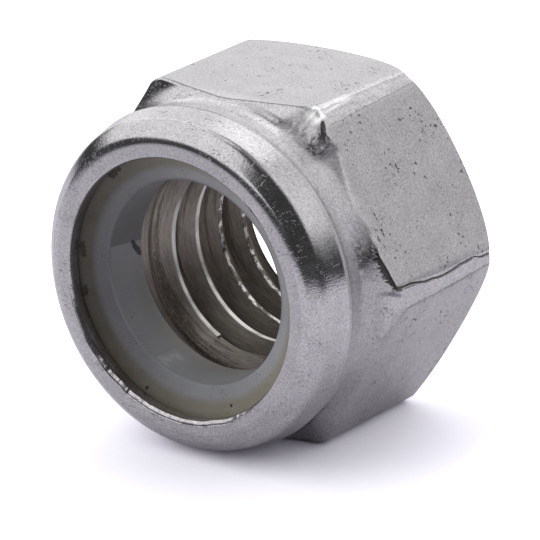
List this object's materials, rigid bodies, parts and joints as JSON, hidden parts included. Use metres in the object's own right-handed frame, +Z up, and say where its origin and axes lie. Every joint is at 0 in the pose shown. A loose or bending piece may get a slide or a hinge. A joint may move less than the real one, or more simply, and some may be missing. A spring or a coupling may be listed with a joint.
{
  "type": "nylon insert lock nut",
  "caption": "Hexagon lock nut with a domed collar, whose rolled lip traps a nylon ring that grips the bolt's thread.",
  "frame": {"origin": "centre of the bearing face, on the thread axis", "axes": "+Y along the thread axis, out of the bearing face; the collar and the nylon ring point to -Y; +Z up, with the nut lying on one flat; +X through two opposite corners of the hexagon"},
  "size_m": [0.0162, 0.0111, 0.0142],
  "materials": {
    "stainless_steel": "cold-formed stainless steel, satin flats with small pits, polished shoulder",
    "nylon": "natural nylon, smooth and slightly translucent"
  },
  "bodies": {
    "root": {"nut_body": "stainless_steel", "nylon_ring": "nylon"}
  },
  "joints": []
}
